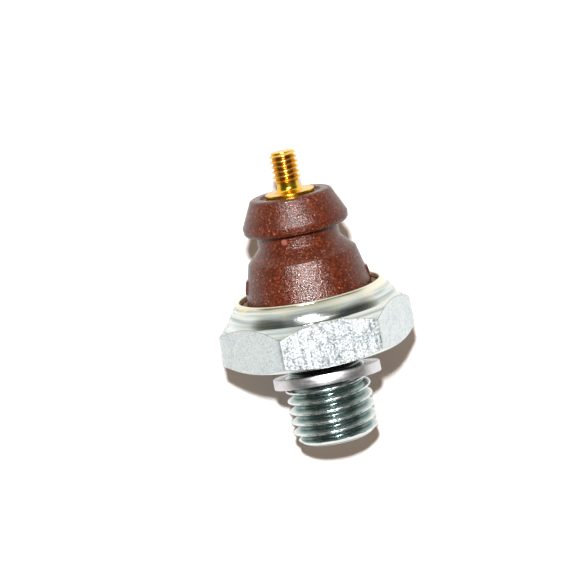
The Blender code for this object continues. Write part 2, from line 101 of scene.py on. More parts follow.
class Lathe:
    """A surface of rings round the axis; each band between two rings has a material index."""

    def __init__(self, columns):
        self.n = columns
        self.ang = np.arange(columns) * TAU / columns
        self.rings, self.bands, self.attrs = [], [], []

    def ring(self, r, z, mat=0, mask=0.0):
        r = np.broadcast_to(np.asarray(r, float), (self.n,))
        z = np.broadcast_to(np.asarray(z, float), (self.n,))
        self.rings.append(np.stack([r * np.cos(self.ang), r * np.sin(self.ang), z], 1))
        self.bands.append(mat)
        self.attrs.append(np.broadcast_to(np.asarray(mask, float), (self.n,)))

    def profile(self, points, mat=0, mask=0.0):
        for r, z in points:
            self.ring(r, z, mat, mask)

    def build(self, name, materials, loop=False, caps=(False, False), sharp=32.0, base=Vector((0, 0, 0))):
        n, m = self.n, len(self.rings)
        verts = np.concatenate(self.rings) * MM
        mask = np.concatenate(self.attrs)
        faces, index = [], []
        last = m if loop else m - 1
        for i in range(last):
            j = (i + 1) % m
            for c in range(n):
                d = (c + 1) % n
                faces.append((i * n + c, i * n + d, j * n + d, j * n + c))
                index.append(self.bands[j if not loop or j else 0])
        verts = [tuple(v) for v in verts]
        mask = list(mask)
        if caps[0]:
            z = self.rings[0][:, 2].mean() * MM
            verts.append((0, 0, z)); mask.append(0.0)
            for c in range(n):
                faces.append(((c + 1) % n, c, len(verts) - 1)); index.append(self.bands[0])
        if caps[1]:
            z = self.rings[-1][:, 2].mean() * MM
            verts.append((0, 0, z)); mask.append(0.0)
            o = (m - 1) * n
            for c in range(n):
                faces.append((o + c, o + (c + 1) % n, len(verts) - 1)); index.append(self.bands[-1])
        mesh = bpy.data.meshes.new(name)
        mesh.from_pydata(verts, [], faces)
        for mat in materials:
            mesh.materials.append(mat)
        mesh.polygons.foreach_set("material_index", index)
        att = mesh.attributes.new("mask", "FLOAT", "POINT")
        att.data.foreach_set("value", np.array(mask, np.float32))
        mesh.validate()
        mesh.shade_smooth()
        mesh.set_sharp_from_angle(angle=math.radians(sharp))
        mesh.update()
        obj = bpy.data.objects.new(name, mesh)
        bpy.context.scene.collection.objects.link(obj)
        return obj


def thread_table(crest_half, root_half, soft):
    """Height of a thread over one pitch, 1 on the crest at phase 0.5 and 0 in the root, corners softened."""
    x = (np.arange(720) + 0.5) / 720
    d = np.abs(x - 0.5)
    h = np.clip((0.5 - root_half - d) / (0.5 - root_half - crest_half), 0, 1)
    k = np.arange(-60, 61) / 720
    w = np.exp(-0.5 * (k / soft) ** 2)
    w /= w.sum()
    return np.convolve(np.concatenate([h[-60:], h, h[:60]]), w, "valid")


def thread_height(table, phase):
    x = (phase % 1.0) * 720 - 0.5
    i = np.floor(x).astype(int)
    f = x - i
    return table[i % 720] * (1 - f) + table[(i + 1) % 720] * f


def step(x):
    x = np.clip(x, 0, 1)
    return x * x * (3 - 2 * x)


# ------------------------------------------------------------------ node helpers
class Mat:
    """A material built from nodes, with short calls for the nodes it uses most."""

    def __init__(self, name):
        self.m = bpy.data.materials.new(name)
        self.m.use_nodes = True
        self.t = self.m.node_tree
        self.b = self.t.nodes["Principled BSDF"]
        coord = self.t.nodes.new("ShaderNodeTexCoord")
        self.obj = coord.outputs["Object"]

    def add(self, kind, **values):
        n = self.t.nodes.new(kind)
        for k, v in values.items():
            setattr(n, k, v)
        return n

    def link(self, a, b):
        self.t.links.new(a, b)

    def put(self, socket, value):
        if isinstance(value, bpy.types.NodeSocket):
            self.link(value, socket)
        else:
            socket.default_value = value

    def scaled(self, vec):
        n = self.add("ShaderNodeMapping")
        self.link(self.obj, n.inputs["Vector"])
        n.inputs["Scale"].default_value = vec
        return n.outputs["Vector"]

    def noise(self, scale, detail=3.0, rough=0.55, vector=None, distortion=0.0):
        n = self.add("ShaderNodeTexNoise")
        self.link(vector or self.obj, n.inputs["Vector"])
        n.inputs["Scale"].default_value = scale
        n.inputs["Detail"].default_value = detail
        n.inputs["Roughness"].default_value = rough
        n.inputs["Distortion"].default_value = distortion
        return n.outputs["Fac"]

    def voronoi(self, scale, feature="F1", vector=None, random=1.0):
        n = self.add("ShaderNodeTexVoronoi", feature=feature)
        self.link(vector or self.obj, n.inputs["Vector"])
        n.inputs["Scale"].default_value = scale
        n.inputs["Randomness"].default_value = random
        return n

    def math(self, op, a, b=0.0, clamp=False):
        n = self.add("ShaderNodeMath", operation=op, use_clamp=clamp)
        self.put(n.inputs[0], a)
        self.put(n.inputs[1], b)
        return n.outputs[0]

    def span(self, value, lo, hi, to_lo=0.0, to_hi=1.0):
        n = self.add("ShaderNodeMapRange")
        self.put(n.inputs["Value"], value)
        n.inputs["From Min"].default_value = lo
        n.inputs["From Max"].default_value = hi
        n.inputs["To Min"].default_value = to_lo
        n.inputs["To Max"].default_value = to_hi
        return n.outputs["Result"]

    def ramp(self, value, stops, interpolation="LINEAR"):
        n = self.add("ShaderNodeValToRGB")
        self.put(n.inputs["Fac"], value)
        n.color_ramp.interpolation = interpolation
        e = n.color_ramp.elements
        while len(e) > 1:
            e.remove(e[-1])
        e[0].position, e[0].color = stops[0][0], (*stops[0][1], 1)
        for pos, col in stops[1:]:
            x = e.new(pos)
            x.color = (*col, 1)
        return n.outputs["Color"]

    def mix(self, fac, a, b, mode="MIX"):
        n = self.add("ShaderNodeMix", data_type="RGBA", blend_type=mode)
        self.put(n.inputs[0], fac)
        for s, v in ((n.inputs[6], a), (n.inputs[7], b)):
            self.put(s, v if isinstance(v, bpy.types.NodeSocket) else (*v, 1))
        return n.outputs[2]

    def attribute(self, name="mask"):
        n = self.add("ShaderNodeAttribute", attribute_name=name)
        return n.outputs["Fac"]

    def split(self):
        n = self.add("ShaderNodeSeparateXYZ")
        self.link(self.obj, n.inputs[0])
        return n.outputs

    def polar(self):
        """(angle, radius, z) of the point round the axis, as one vector and as parts, in metres."""
        s = self.split()
        ang = self.math("ARCTAN2", s[1], s[0])
        r2 = self.math("ADD", self.math("MULTIPLY", s[0], s[0]), self.math("MULTIPLY", s[1], s[1]))
        rad = self.math("SQRT", r2)
        return ang, rad, s[2]

    def vector(self, x, y, z):
        n = self.add("ShaderNodeCombineXYZ")
        for i, v in enumerate((x, y, z)):
            self.put(n.inputs[i], v)
        return n.outputs[0]

    def near(self, point_mm, radius_mm, soft_mm):
        """1 within radius of a point on the object, 0 away from it."""
        n = self.add("ShaderNodeVectorMath", operation="DISTANCE")
        self.link(self.obj, n.inputs[0])
        n.inputs[1].default_value = tuple(v * MM for v in point_mm)
        return self.span(n.outputs["Value"], (radius_mm + soft_mm) * MM, radius_mm * MM)

    def bump(self, height, strength, distance_mm, normal=None):
        n = self.add("ShaderNodeBump")
        self.put(n.inputs["Height"], height)
        n.inputs["Strength"].default_value = strength
        n.inputs["Distance"].default_value = distance_mm * MM
        if normal is not None:
            self.link(normal, n.inputs["Normal"])
        return n.outputs["Normal"]

    def finish(self, colour=None, roughness=None, normal=None, **fixed):
        if colour is not None:
            self.put(self.b.inputs["Base Color"], colour if isinstance(colour, bpy.types.NodeSocket) else (*colour, 1))
        if roughness is not None:
            self.put(self.b.inputs["Roughness"], roughness)
        if normal is not None:
            self.link(normal, self.b.inputs["Normal"])
        for k, v in fixed.items():
            self.b.inputs[k.replace("_", " ")].default_value = v
        return self.m


# ------------------------------------------------------------------ materials
def zinc_flats():
    """Plated hex flats: spangled grains, faint blue, violet and straw tints, rolled scratches."""
    m = Mat("zinc_flats")
    cells = m.voronoi(5200)
    grain = m.add("ShaderNodeSeparateColor")
    m.link(cells.outputs["Color"], grain.inputs[0])
    fine = m.noise(9000, 4, 0.7)
    lumps = m.noise(2300, 3, 0.7)
    cloud = m.noise(420, 4, 0.6, distortion=0.6)
    tint = m.ramp(
        grain.outputs[0],
        [(0.0, (0.38, 0.46, 0.55)), (0.2, (0.58, 0.65, 0.72)), (0.42, (0.74, 0.80, 0.82)),
         (0.6, (0.88, 0.88, 0.78)), (0.78, (0.66, 0.70, 0.78)), (1.0, (0.97, 0.99, 0.97))],
    )
    soft = m.ramp(cloud, [(0.3, (0.66, 0.74, 0.79)), (0.5, (0.86, 0.92, 0.93)), (0.72, (0.96, 0.99, 0.98))])
    colour = m.mix(m.span(fine, 0.3, 0.7, 0.25, 0.8), soft, tint)
    lines = m.noise(1.0, 3, 0.6, vector=m.scaled((2600, 2600, 160)))
    colour = m.mix(m.span(lines, 0.62, 0.78, 0, 0.5), colour, (0.90, 0.92, 0.93))
    rough = m.math("ADD", m.span(grain.outputs[1], 0.0, 1.0, 0.27, 0.43), m.span(cloud, 0.3, 0.7, -0.03, 0.04))
    rough = m.math("ADD", rough, m.span(lines, 0.3, 0.8, -0.04, 0.10))
    height = m.math("ADD", m.math("MULTIPLY", grain.outputs[2], 0.40), m.math("MULTIPLY", fine, 0.6))
    height = m.math("ADD", height, m.math("MULTIPLY", lines, 0.20))
    height = m.math("ADD", height, m.math("MULTIPLY", lumps, 0.5))
    return m.finish(colour, rough, m.bump(height, 0.6, 0.0088), Metallic=1.0)


def zinc_turned():
    """Turned and crimped plating: fine rings round the axis, straw-yellow passivation streaks, and a painted cream
    highlight on one side of the collar's upper part.
    """
    m = Mat("zinc_turned")
    ang, rad, z = m.polar()
    along = m.math("ADD", m.math("MULTIPLY", rad, 1.0), m.math("MULTIPLY", z, -0.6))
    rings = m.noise(1.0, 4, 0.65, vector=m.vector(m.math("MULTIPLY", ang, 1.3), m.math("MULTIPLY", along, 9000), 0.0))
    wide = m.noise(1.0, 2, 0.5, vector=m.vector(m.math("MULTIPLY", ang, 0.9), m.math("MULTIPLY", along, 1500), 4.0))
    cloud = m.noise(260, 4, 0.6, distortion=0.8)
    base = m.ramp(wide, [(0.28, (0.34, 0.39, 0.39)), (0.42, (0.56, 0.61, 0.60)), (0.55, (0.80, 0.84, 0.81)), (0.72, (0.94, 0.95, 0.92))])
    straw = m.math("MULTIPLY", m.span(cloud, 0.50, 0.66), m.span(z, 0.0066, 0.0086, 0.1, 0.8))
    straw = m.math("MAXIMUM", straw, m.math("MULTIPLY", m.span(z, 0.00835, 0.0088, 0.0, 0.75), m.span(wide, 0.3, 0.6, 0.35, 1.0)))
    colour = m.mix(straw, base, (0.96, 0.86, 0.52))
    colour = m.mix(m.span(m.noise(900, 3), 0.62, 0.74, 0, 0.35), colour, (0.52, 0.60, 0.70))
    # Painted highlight: on one side only (towards the front right), the collar's upper part just under the lip is
    # lightened to cream where the bright reflection falls.
    side = m.span(m.math("COSINE", m.math("ADD", ang, 0.80)), 0.25, 0.85)
    painted_cream_highlight = m.math("MULTIPLY", side, m.span(z, 0.0080, 0.0085))
    colour = m.mix(m.math("MULTIPLY", painted_cream_highlight, 0.85), colour, (1.0, 0.96, 0.80))
    rough = m.math("ADD", m.span(rings, 0.3, 0.7, 0.10, 0.21), m.span(cloud, 0.3, 0.7, 0.0, 0.06))
    height = m.math("ADD", m.math("MULTIPLY", rings, 0.6), m.math("MULTIPLY", m.noise(4200, 3, 0.7), 0.8))
    return m.finish(colour, rough, m.bump(height, 0.5, 0.016), Metallic=1.0)


def zinc_lip():
    """The crimped lip's top: burnished cream and straw."""
    m = Mat("zinc_lip")
    ang, rad, z = m.polar()
    rings = m.noise(1.0, 4, 0.65, vector=m.vector(m.math("MULTIPLY", ang, 1.0), m.math("MULTIPLY", rad, 12000), 2.0))
    cloud = m.noise(300, 3, 0.6)
    colour = m.ramp(rings, [(0.2, (0.80, 0.70, 0.42)), (0.45, (0.95, 0.90, 0.72)), (0.8, (0.97, 0.96, 0.90))])
    colour = m.mix(m.span(cloud, 0.55, 0.75, 0, 0.4), colour, (0.75, 0.78, 0.80))
    rough = m.span(rings, 0.2, 0.8, 0.22, 0.40)
    return m.finish(colour, rough, m.bump(rings, 0.4, 0.015), Metallic=1.0)


def zinc_thread():
    """Rolled thread: bright crests, partly burnished and partly a painted highlight, and greener grey roots darkened
    with painted shade.
    """
    m = Mat("zinc_thread")
    crest = m.attribute()
    ang, rad, z = m.polar()
    drawn = m.noise(1.0, 4, 0.65, vector=m.vector(m.math("MULTIPLY", ang, 2.4), m.math("MULTIPLY", z, 9000), 0.0))
    cloud = m.noise(700, 4, 0.6, distortion=0.4)
    # Painted shade and highlight: the colour follows the thread's height, near black-green in the roots where shade
    # falls and near white on the crests; the end chamfer counts as crest.
    base = m.ramp(crest, [(0.0, (0.20, 0.27, 0.26)), (0.4, (0.46, 0.55, 0.54)), (0.85, (0.74, 0.80, 0.78)), (1.0, (0.92, 0.94, 0.93))])
    colour = m.mix(m.span(cloud, 0.5, 0.7, 0, 0.35), base, (0.50, 0.58, 0.60))
    colour = m.mix(m.span(m.noise(6000, 3, 0.7), 0.64, 0.74, 0, 0.6), colour, (0.95, 0.97, 0.97))
    rough = m.math("ADD", m.span(drawn, 0.3, 0.7, 0.12, 0.26), m.span(cloud, 0.3, 0.7, 0.0, 0.08))
    height = m.math("ADD", m.math("MULTIPLY", drawn, 0.5), m.math("MULTIPLY", m.noise(4800, 4, 0.7), 0.5))
    return m.finish(colour, rough, m.bump(height, 0.45, 0.02), Metallic=1.0)


def zinc_painted_edge_shade():
    """Painted shade: a dull dark line, with straw and olive showing, where the chamfer meets a flat."""
    m = Mat("zinc_painted_edge_shade")
    cloud = m.noise(650, 3, 0.6)
    fine = m.noise(5200, 3, 0.7)
    colour = m.ramp(cloud, [(0.3, (0.22, 0.24, 0.20)), (0.5, (0.42, 0.40, 0.27)), (0.7, (0.66, 0.52, 0.22))])
    return m.finish(colour, m.span(fine, 0.3, 0.7, 0.30, 0.50), m.bump(fine, 0.4, 0.01), Metallic=1.0)


def zinc_undercut_shade():
    """Painted shade: the undercut and the hex's underside round it, dull and near black, coloured as the shade under
    the hex.
    """
    m = Mat("zinc_undercut_shade")
    cloud = m.noise(900, 4, 0.6, distortion=0.4)
    fine = m.noise(5200, 3, 0.7)
    colour = m.ramp(cloud, [(0.3, (0.035, 0.032, 0.028)), (0.55, (0.075, 0.068, 0.060)), (0.8, (0.16, 0.15, 0.14))])
    rough = m.span(fine, 0.3, 0.7, 0.38, 0.62)
    return m.finish(colour, rough, m.bump(m.math("ADD", cloud, fine), 0.5, 0.02), Metallic=0.8)


def washer_metal():
    m = Mat("washer_metal")
    ang, rad, z = m.polar()
    rings = m.noise(1.0, 4, 0.6, vector=m.vector(m.math("MULTIPLY", ang, 1.6), m.math("MULTIPLY", rad, 5000), m.math("MULTIPLY", z, 9000)))
    cloud = m.noise(380, 4, 0.6, distortion=0.5)
    colour = m.ramp(cloud, [(0.3, (0.60, 0.57, 0.61)), (0.5, (0.78, 0.75, 0.78)), (0.7, (0.90, 0.88, 0.90))])
    colour = m.mix(m.span(m.noise(5200, 3, 0.7), 0.60, 0.72, 0, 0.4), colour, (0.48, 0.43, 0.50))
    rough = m.math("ADD", m.span(rings, 0.3, 0.7, 0.24, 0.42), m.span(cloud, 0.3, 0.7, 0.0, 0.08))
    height = m.math("ADD", m.math("MULTIPLY", rings, 0.5), m.math("MULTIPLY", m.noise(3000, 4, 0.7), 0.6))
    return m.finish(colour, rough, m.bump(height, 0.5, 0.02), Metallic=1.0)


def phenolic():
    """Moulded brown phenolic: mottled filler, pale flecks and a lightly pebbled, slightly waxy skin."""
    m = Mat("phenolic")
    cloud = m.noise(320, 5, 0.6, distortion=0.3)
    mid = m.noise(1500, 4, 0.65)
    fine = m.noise(7000, 3, 0.7)
    base = m.ramp(cloud, [(0.25, (0.058, 0.0088, 0.0023)), (0.5, (0.082, 0.0126, 0.0032)), (0.75, (0.114, 0.0190, 0.0052))])
    base = m.mix(m.span(mid, 0.35, 0.7, 0, 0.5), base, (0.140, 0.024, 0.0075))
    fleck = m.voronoi(2600)
    pick = m.add("ShaderNodeSeparateColor")
    m.link(fleck.outputs["Color"], pick.inputs[0])
    dot = m.span(fleck.outputs["Distance"], 0.34, 0.14)
    pale = m.math("MULTIPLY", dot, m.span(pick.outputs[0], 0.86, 0.93))
    dark = m.math("MULTIPLY", dot, m.span(pick.outputs[1], 0.80, 0.90))
    grain = m.voronoi(4600)
    each = m.add("ShaderNodeSeparateColor")
    m.link(grain.outputs["Color"], each.inputs[0])
    colour = m.mix(m.span(each.outputs[0], 0.34, 0.0, 0.0, 0.65), base, (0.032, 0.0050, 0.0018))
    colour = m.mix(m.span(each.outputs[0], 0.74, 1.0, 0.0, 0.75), colour, (0.30, 0.072, 0.026))
    colour = m.mix(m.math("MULTIPLY", pale, 0.6), colour, (0.58, 0.33, 0.24))
    colour = m.mix(m.math("MULTIPLY", dark, 0.6), colour, (0.030, 0.008, 0.005))
    rough = m.math("ADD", m.span(each.outputs[1], 0.0, 1.0, 0.11, 0.30), m.span(cloud, 0.3, 0.7, -0.03, 0.05))
    grit = m.noise(3600, 3, 0.75)
    height = m.math("ADD", m.math("MULTIPLY", grit, 1.3), m.math("MULTIPLY", mid, 0.4))
    height = m.math("ADD", height, m.math("MULTIPLY", grain.outputs["Distance"], 0.5))
    height = m.math("ADD", height, m.math("MULTIPLY", fine, 0.15))
    return m, colour, rough, height


def phenolic_body():
    m, colour, rough, height = phenolic()
    spot = m.near(GATE_MM, 0.36, 0.10)
    colour = m.mix(m.math("MULTIPLY", spot, 0.7), colour, (0.42, 0.15, 0.12))
    for where, size in MARKS_MM:
        colour = m.mix(m.math("MULTIPLY", m.near(where, size, 0.08), 0.55), colour, (0.50, 0.17, 0.13))
    return m.finish(
        colour, rough, m.bump(height, 1.0, 0.055),
        IOR=1.46,
    )


def brass():
    """Turned brass with a thin gold-coloured passivation, painted shade in the thread roots and a painted pale-gold
    highlight on the crests.
    """
    m = Mat("brass_stud")
    ang, rad, z = m.polar()
    rings = m.noise(1.0, 4, 0.6, vector=m.vector(m.math("MULTIPLY", ang, 1.5), m.math("MULTIPLY", rad, 9000), m.math("MULTIPLY", z, 9000)))
    cloud = m.noise(700, 4, 0.6)
    crest = m.attribute()
    colour = m.ramp(cloud, [(0.3, (0.80, 0.40, 0.018)), (0.5, (0.96, 0.55, 0.035)), (0.72, (1.0, 0.70, 0.11))])
    # Painted shade: the thread roots, from the flare up to just under the top face, are darkened to deep orange-brown.
    colour = m.mix(m.math("MULTIPLY", m.math("MULTIPLY", m.span(crest, 0.55, 0.05, 0.0, 0.85), m.span(m.polar()[2], 0.0242, 0.0247)), m.span(m.polar()[2], 0.0287, 0.0284)), colour, (0.56, 0.24, 0.010))
    # Painted highlight: the thread crests are lightened to pale gold.
    colour = m.mix(m.span(crest, 0.6, 1.0, 0.0, 0.55), colour, (1.0, 0.84, 0.42))
    colour = m.mix(m.span(m.noise(5000, 3, 0.7), 0.62, 0.74, 0, 0.45), colour, (0.40, 0.17, 0.015))
    rough = m.math("ADD", m.span(rings, 0.3, 0.7, 0.10, 0.24), m.span(cloud, 0.3, 0.7, 0.0, 0.07))
    height = m.math("ADD", m.math("MULTIPLY", rings, 0.5), m.math("MULTIPLY", m.noise(5000, 3), 0.5))
    return m.finish(colour, rough, m.bump(height, 0.45, 0.012), Metallic=1.0)


def fibre():
    m = Mat("gasket_fibre")
    cloud = m.noise(900, 5, 0.7)
    hair = m.noise(1.0, 4, 0.7, vector=m.scaled((2600, 700, 2600)))
    colour = m.ramp(cloud, [(0.3, (0.13, 0.05, 0.025)), (0.55, (0.24, 0.10, 0.05)), (0.8, (0.42, 0.24, 0.13))])
    colour = m.mix(m.span(hair, 0.6, 0.75, 0, 0.5), colour, (0.50, 0.33, 0.20))
    return m.finish(colour, m.span(hair, 0.3, 0.7, 0.62, 0.85), m.bump(m.math("ADD", hair, cloud), 0.6, 0.04))


def plain(name, low, high, metallic, rough_lo, rough_hi, scale=1200, bump_mm=0.015, **fixed):
    """An inner piece's finish: two tones mottled together, worn unevenly, with a fine grain."""
    m = Mat(name)
    cloud = m.noise(scale, 4, 0.6, distortion=0.3)
    fine = m.noise(scale * 5, 3, 0.7)
    colour = m.ramp(cloud, [(0.3, low), (0.7, high)])
    colour = m.mix(m.span(fine, 0.62, 0.75, 0, 0.3), colour, tuple(min(1.0, c * 1.3 + 0.02) for c in high))
    rough = m.span(fine, 0.3, 0.7, rough_lo, rough_hi)
    return m.finish(colour, rough, m.bump(m.math("ADD", cloud, fine), 0.4, bump_mm), Metallic=metallic, **fixed)


# ------------------------------------------------------------------ camera
ELEV = 0.195415
ROLL = -0.196348
TURN = math.radians(-7.7)
CAM_D = 450.0
AIM = np.array([-2.5946, 0.0, 9.4441])


def camera_basis():
    c = np.array([0.0, -CAM_D * math.cos(ELEV), CAM_D * math.sin(ELEV)])
    f = AIM - c
    f /= np.linalg.norm(f)
    r = np.cross(f, [0, 0, 1.0])
    r /= np.linalg.norm(r)
    u = np.cross(r, f)
    right = math.cos(ROLL) * r + math.sin(ROLL) * u
    up = -math.sin(ROLL) * r + math.cos(ROLL) * u
    ca, sa = math.cos(TURN), math.sin(TURN)
    rot = np.array([[ca, -sa, 0], [sa, ca, 0], [0, 0, 1]])
    return rot @ c, rot @ right, rot @ up, rot @ f


CAM_C, CAM_R, CAM_U, CAM_F = camera_basis()
FOCAL_PX = 7.15024 * CAM_D


def on_surface(px, py, radius_of_z, guess_z):
    """The point, in mm, where the ray through a pixel meets the near side of a turned surface."""
    d = CAM_F + (px - 290) / FOCAL_PX * CAM_R - (py - 290) / FOCAL_PX * CAM_U
    best, where = 1e9, None
    for k in range(4000):
        t = CAM_D - 30 + k * 0.01
        p = CAM_C + d * t
        gap = abs(math.hypot(p[0], p[1]) - radius_of_z(p[2]))
        if gap < 0.02:
            return tuple(map(float, p))
        if gap < best:
            best, where = gap, p
    return tuple(map(float, where))


# ------------------------------------------------------------------ insulator outline
BODY_FOOT = (8.85, 7.95)
LOWER = [(8.84, 8.3), (8.73, 9.2), (8.56, 9.95), (8.44, 10.6), (8.28, 11.3), (8.10, 12.0), (7.92, 12.8), (7.76, 13.45)]
HEAD_CONE = ((7.36, 19.45), (5.80, 22.55))


def body_radius(z):
    if z < 13.5:
        zs = [p[1] for p in LOWER]
        return float(np.interp(z, zs, [p[0] for p in LOWER]))
    if z < 16.0:
        return float(np.interp(z, [13.5, 14.3, 16.0], [7.75, 7.35, 5.78]))
    if z < 17.8:
        return 5.73
    return float(np.interp(z, [17.8, 18.3, 19.1, 22.6], [5.8, 7.2, 7.4, 5.8]))


GATE_MM = on_surface(284, 242.5, body_radius, 16)
MARKS_MM = (
    (on_surface(274.5, 234, body_radius, 18.2), 0.16),
    (on_surface(308, 200.5, body_radius, 21.8), 0.18),
)


def insulator_visual(mat):
    n = 360
    s = Lathe(n)
    s.profile([(7.6, 5.2), (10.15, 5.2), (10.3, 5.35), (10.3, 6.8), (10.0, 7.75), (9.9, 7.88), (9.0, 7.9)])
    lower = [(8.86, 7.96)] + catmull(LOWER, 4)
    shoulder = rounded(
        [(7.76, 13.45), (7.62, 14.05), (7.00, 14.66), (6.30, 15.36), (5.74, 15.98), (5.72, 16.6)],
        [0, 0.22, 0.5, 0.6, 0.22, 0], 5,
    )
    deg = np.degrees(s.ang)

    def pad(z):
        out = np.zeros(n)
        for azimuth, mid, tall, wide in ((172.0, 10.95, 1.9, 1.7), (-8.0, 10.1, 1.7, 1.6)):
            off = (deg - azimuth + 180) % 360 - 180
            arc_mm = np.radians(off) * 8.4
            out += 0.24 * step((wide / 2 + 0.12 - np.abs(arc_mm)) / 0.24) * float(step((tall / 2 + 0.12 - abs(z - mid)) / 0.24))
        return out

    zs = np.arange(8.3, 13.46, 0.11)
    lr = [p[0] for p in lower]
    lz = [p[1] for p in lower]
    s.ring(8.86, 7.96)
    for z in zs:
        s.ring(np.interp(z, lz, lr) + pad(z), z)
    s.profile(shoulder[1:])
    s.profile(rounded(
        [(5.72, 16.9), (5.72, 17.76), (6.35, 17.85), (7.12, 17.98), (7.36, 18.38), (7.40, 19.15), (6.6, 20.85), (5.76, 22.62), (5.45, 22.82), (4.4, 22.82)],
        [0, 0.10, 0.3, 0.14, 0.18, 0.25, 2.0, 0.16, 0.12, 0], 5,
    ))
    s.profile(rounded([(4.30, 22.80), (4.18, 22.5), (2.95, 22.5), (2.95, 21.3)], [0, 0.08, 0.05, 0], 3))
    s.profile([(1.68, 21.3), (1.68, 17.0), (4.4, 17.0), (4.4, 7.4), (7.6, 7.4)])
    return s.build("insulator_moulding", [mat], loop=True, sharp=38)


# ------------------------------------------------------------------ housing
def housing_visual(mats):
    FLAT, TURN_M, LIP, THREAD, UNDERCUT_SHADE, PAINTED_EDGE_SHADE = range(6)
    n = 384
    s = Lathe(n)
    deg = np.degrees(s.ang)
    d = deg % 60.0 - 30.0
    hex_r = 12.0 / np.cos(np.radians(d))
    corner = np.exp(-(((30 - np.abs(d)) / 1.1) ** 2))
    hex_r = hex_r - 0.085 * corner

    # spigot, from the port's mouth up
    s.profile([(1.5, -11.4), (1.52, -11.85), (2.0, -12.33)], TURN_M)
    s.profile(rounded([(2.05, -12.35), (4.72, -12.35), (5.0, -12.22)], [0, 0.12, 0], 3)[1:], TURN_M)
    table = thread_table(0.070, 0.105, 0.028)
    pitch, crest_z = 1.5, -8.36
    rows = np.arange(-12.14, -1.98, pitch / 26)
    for z in rows:
        phase = (z - crest_z) / pitch - s.ang / TAU + 0.5
        h = thread_height(table, phase)
        fade = float(step((-2.0 - z) / 0.9))
        r = 5.0 + (0.05 + 0.92 * h) * fade
        cone = 5.03 + (z + 12.14) * 1.35
        soft = 0.06
        r = -soft * np.log(np.exp(-r / soft) + np.exp(-min(cone, 7.5) / soft))
        chamfer = 1.0 if z < -11.6 else 0.0
        s.ring(r, z, THREAD, np.maximum(h * fade, chamfer * 0.9))
    # Painted shade: the undercut and the inner part of the hex's underside take the near-black undercut material.
    s.profile([(5.0, -1.8), (5.0, -0.45)], UNDERCUT_SHADE)
    s.profile(rounded([(5.0, -0.4), (5.05, -0.1), (5.35, 0.0), (6.2, 0.0)], [0, 0.1, 0.15, 0], 3), UNDERCUT_SHADE)
    # hex: underside, chamfer, flats, chamfer
    s.profile([(8.0, 0.0), (9.2, 0.0)], UNDERCUT_SHADE)
    s.profile([(10.0, 0.0), (11.6, 0.0), (11.86, 0.008), (11.95, 0.045)], TURN_M)
    low = (hex_r - 11.9) * 0.96 / (CORNER_R - 11.9)
    high = 6.35 + (hex_r - 12.0) * (5.0 - 6.35) / (CORNER_R - 12.0)
    for t in (0.35, 0.7, 0.94):
        s.ring(11.95 + (hex_r - 11.95) * t, np.maximum(0.045 + (low - 0.045) * t, 0.045), TURN_M)
    s.ring(hex_r - 0.025, low + 0.01, TURN_M)
    s.ring(hex_r, low + 0.05, FLAT)
    for t in (0.06, 0.15, 0.3, 0.5, 0.7, 0.85, 0.94):
        s.ring(hex_r, (low + 0.05) * (1 - t) + (high - 0.05) * t, FLAT)
    s.ring(hex_r, high - 0.05, FLAT)
    # Painted shade: one dark ring along the top of each flat, where it meets the chamfer.
    s.ring(hex_r - 0.045, high + 0.012, PAINTED_EDGE_SHADE)
    for t in (0.07, 0.3, 0.6, 0.85):
        s.ring(hex_r - 0.045 + (11.96 + 0.015 - hex_r) * t, high + 0.012 + (6.36 - high - 0.012) * t, TURN_M)
    # collar
    collar = catmull(
        [(11.95, 6.385), (11.93, 6.62), (11.84, 6.98), (11.55, 7.50), (11.13, 8.05), (10.74, 8.47), (10.46, 8.80), (10.33, 9.00)], 7
    )
    s.profile(collar, TURN_M)
    s.profile(rounded([(10.33, 9.00), (10.22, 9.12), (10.02, 9.13), (9.92, 9.00), (9.88, 8.75), (9.88, 8.5)], [0, 0.06, 0.06, 0.05, 0.05, 0], 4)[1:], LIP)
    s.profile([(10.07, 8.05), (10.4, 6.9), (10.4, 3.0), (6.5, 3.0), (6.5, 2.0), (2.0, 1.65), (1.5, 1.3)], TURN_M)
    return s.build("hex_body", mats, loop=True, sharp=30)


# ------------------------------------------------------------------ stud
def stud_visual(mat):
    n = 128
    s = Lathe(n)
    s.profile([(1.1, 15.75), (2.05, 15.87), (2.4, 16.13), (2.4, 16.4), (1.6, 16.4), (1.6, 22.6)])
    s.profile(rounded([(1.6, 22.6), (3.45, 22.6), (3.45, 23.15), (2.5, 23.15)], [0, 0.07, 0.09, 0], 4)[1:-1])
    flare = [(2.42 - 0.0, 23.15)] + [
        (1.55 + 0.87 - 0.87 * math.sin(a), 23.15 + 0.80 - 0.80 * math.cos(a)) for a in np.linspace(0.06, math.pi / 2, 9)
    ]
    s.profile(flare)
    table = thread_table(0.075, 0.11, 0.035)
    pitch, crest_z = 0.7, 25.05
    for z in np.arange(24.0, 28.77, pitch / 20):
        phase = (z - crest_z) / pitch - s.ang / TAU + 0.5
        h = thread_height(table, phase)
        fade = float(step((z - 24.45) / 0.5))
        r = 1.55 + (1.53 + 0.445 * h - 1.55) * fade
        cone = 1.50 + (28.8 - z) * 1.15
        soft = 0.03
        r = -soft * np.log(np.exp(-r / soft) + np.exp(-min(cone, 2.6) / soft))
        s.ring(r, z, 0, h * fade)
    s.profile([(1.44, 28.79), (1.36, 28.8), (0.9, 28.8), (0.4, 28.8)])
    return s.build("terminal_stud_turned", [mat], caps=(True, True), sharp=34)


